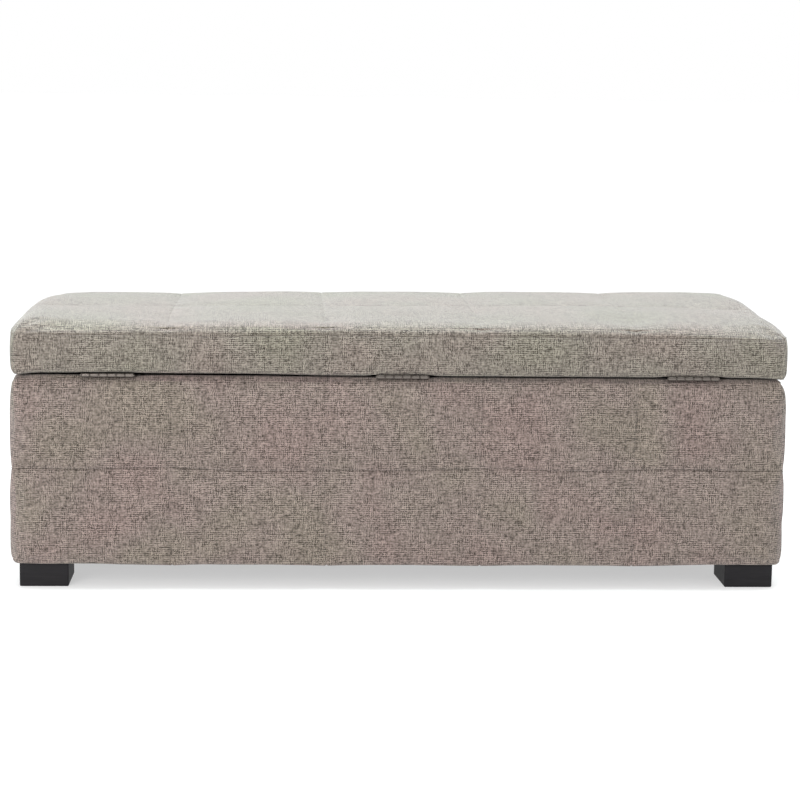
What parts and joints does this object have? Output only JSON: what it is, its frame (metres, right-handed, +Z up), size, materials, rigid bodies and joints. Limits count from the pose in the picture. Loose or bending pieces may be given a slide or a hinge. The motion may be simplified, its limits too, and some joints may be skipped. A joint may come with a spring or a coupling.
{
  "type": "storage bench",
  "caption": "Upholstered storage bench: a long padded box on wooden feet, with a tufted lid that opens on butt hinges and gas struts.",
  "frame": {"origin": "on the floor, under the middle of the bench", "axes": "+X along the length, -Y towards the hinged side, +Y towards the opening side, +Z up"},
  "size_m": [1.22, 0.46, 0.43],
  "materials": {
    "plywood": "matte",
    "pine": "matte",
    "dark_wood": "satin",
    "foam": "matte",
    "linen_cover": "matte",
    "lining": "matte",
    "hinge_steel": "satin",
    "zinc_steel": "satin",
    "rod_chrome": "polished",
    "tube_paint": "satin",
    "eye_plastic": "matte",
    "bumper_rubber": "matte"
  },
  "bodies": {
    "box": {"front_panel": "plywood", "back_panel": "plywood", "left_panel": "plywood", "right_panel": "plywood", "floor_panel": "plywood", "corner_blocks": "pine", "floor_cleats": "pine", "floor_bearer": "pine", "frame_screws": "zinc_steel", "front_padding": "foam", "back_padding": "foam", "left_padding": "foam", "right_padding": "foam", "body_cover": "linen_cover", "wall_lining": "lining", "floor_lining": "lining", "dust_cover": "lining", "dust_cover_staples": "zinc_steel", "foot_front_left": "dark_wood", "foot_front_right": "dark_wood", "foot_back_left": "dark_wood", "foot_back_right": "dark_wood", "foot_bolts": "zinc_steel", "foot_tee_nuts": "zinc_steel", "lid_bumpers": "bumper_rubber", "left_hinge_box_leaf": "hinge_steel", "middle_hinge_box_leaf": "hinge_steel", "right_hinge_box_leaf": "hinge_steel", "left_hinge_pin": "hinge_steel", "middle_hinge_pin": "hinge_steel", "right_hinge_pin": "hinge_steel", "hinge_box_screws": "hinge_steel", "left_strut_box_bracket": "zinc_steel", "right_strut_box_bracket": "zinc_steel", "strut_box_screws": "zinc_steel"},
    "lid": {"left_hinge_lid_leaf": "hinge_steel", "middle_hinge_lid_leaf": "hinge_steel", "right_hinge_lid_leaf": "hinge_steel", "hinge_lid_screws": "hinge_steel", "left_strut_lid_bracket": "zinc_steel", "right_strut_lid_bracket": "zinc_steel", "strut_lid_screws": "zinc_steel", "lid_board": "plywood", "lid_foam": "foam", "lid_cover": "linen_cover", "lid_lining": "lining", "lid_lining_staples": "zinc_steel"},
    "left_rod": {"left_strut_rod": "rod_chrome", "left_strut_piston": "zinc_steel", "left_strut_rod_end": "eye_plastic"},
    "right_rod": {"right_strut_rod": "rod_chrome", "right_strut_piston": "zinc_steel", "right_strut_rod_end": "eye_plastic"},
    "left_tube": {"left_strut_tube": "tube_paint", "left_strut_guide": "zinc_steel", "left_strut_tube_end": "eye_plastic"},
    "right_tube": {"right_strut_tube": "tube_paint", "right_strut_guide": "zinc_steel", "right_strut_tube_end": "eye_plastic"}
  },
  "joints": [
    {"name": "lid_hinge", "type": "hinge", "parent": "box", "child": "lid", "pos_m": [0, -0.2265, 0.33975], "axis": [1, 0, 0], "range_deg": [0, 80]},
    {"name": "left_rod_swing", "type": "hinge", "parent": "box", "child": "left_rod", "pos_m": [-0.564, -0.17118, 0.14755], "axis": [1, 0, 0], "range_deg": [0, 40]},
    {"name": "left_tube_swing", "type": "hinge", "parent": "lid", "child": "left_tube", "pos_m": [-0.564, -0.02697, 0.326], "axis": [1, 0, 0], "range_deg": [-40, 0]},
    {"name": "right_rod_swing", "type": "hinge", "parent": "box", "child": "right_rod", "pos_m": [0.564, -0.17118, 0.14755], "axis": [1, 0, 0], "range_deg": [0, 40]},
    {"name": "right_tube_swing", "type": "hinge", "parent": "lid", "child": "right_tube", "pos_m": [0.564, -0.02697, 0.326], "axis": [1, 0, 0], "range_deg": [-40, 0]}
  ],
  "couplings": [
    {"joint": "left_rod_swing", "follows": "lid_hinge", "ratio": 0.5},
    {"joint": "left_tube_swing", "follows": "lid_hinge", "ratio": -0.5},
    {"joint": "right_rod_swing", "follows": "lid_hinge", "ratio": 0.5},
    {"joint": "right_tube_swing", "follows": "lid_hinge", "ratio": -0.5}
  ]
}
